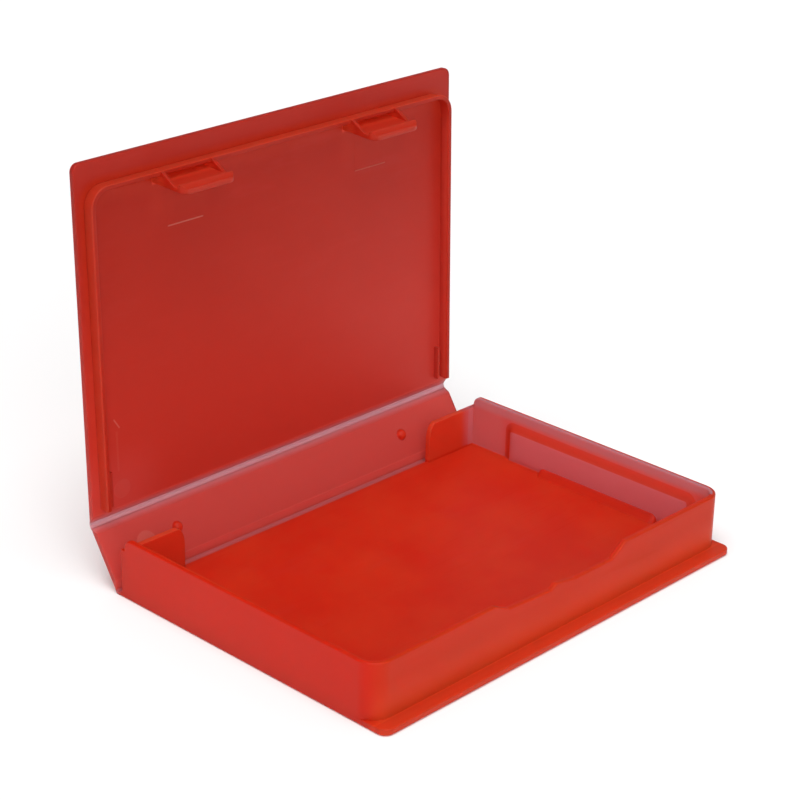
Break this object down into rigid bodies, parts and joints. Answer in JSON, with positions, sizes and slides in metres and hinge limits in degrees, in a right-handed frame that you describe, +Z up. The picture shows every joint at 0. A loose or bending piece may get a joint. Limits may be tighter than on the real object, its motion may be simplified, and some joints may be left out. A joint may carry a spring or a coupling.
{
  "type": "hard drive case",
  "caption": "Hinged plastic case for a small hard drive: shallow tray, spine and lid on living hinges, with snap hooks and a finger lip.",
  "frame": {"origin": "on the underside of the tray, midway along the hinges and midway between the front of the finger lip and the tray's hinge line", "axes": "+X along the hinges with the latch side facing the viewer, +Y from the finger lip towards the hinges, +Z up from the surface that the tray lies on"},
  "size_m": [0.12, 0.0986, 0.1012],
  "materials": {
    "polypropylene": "translucent red injection-moulded polypropylene, satin",
    "hinge_polypropylene": "the same red polypropylene, paler where it is thinned and flexed"
  },
  "bodies": {
    "tray": {"tray": "polypropylene", "floor_rib": "polypropylene", "left_catch": "polypropylene", "right_catch": "polypropylene", "tray_hinge_web": "hinge_polypropylene"},
    "spine": {"spine_panel": "polypropylene", "left_stud": "polypropylene", "right_stud": "polypropylene", "lid_hinge_web": "hinge_polypropylene"},
    "lid": {"lid_panel": "polypropylene", "lid_rim": "polypropylene", "left_stay_rib": "polypropylene", "right_stay_rib": "polypropylene", "left_hook": "polypropylene", "right_hook": "polypropylene"}
  },
  "joints": [
    {"name": "tray_hinge", "type": "hinge", "parent": "tray", "child": "spine", "pos_m": [0, 0.0435, 0.0002], "axis": [1, 0, 0], "range_deg": [-57, 33]},
    {"name": "lid_hinge", "type": "hinge", "parent": "spine", "child": "lid", "pos_m": [0, 0.0526, 0.01421], "axis": [1, 0, 0], "range_deg": [-31.5, 58.5]}
  ]
}
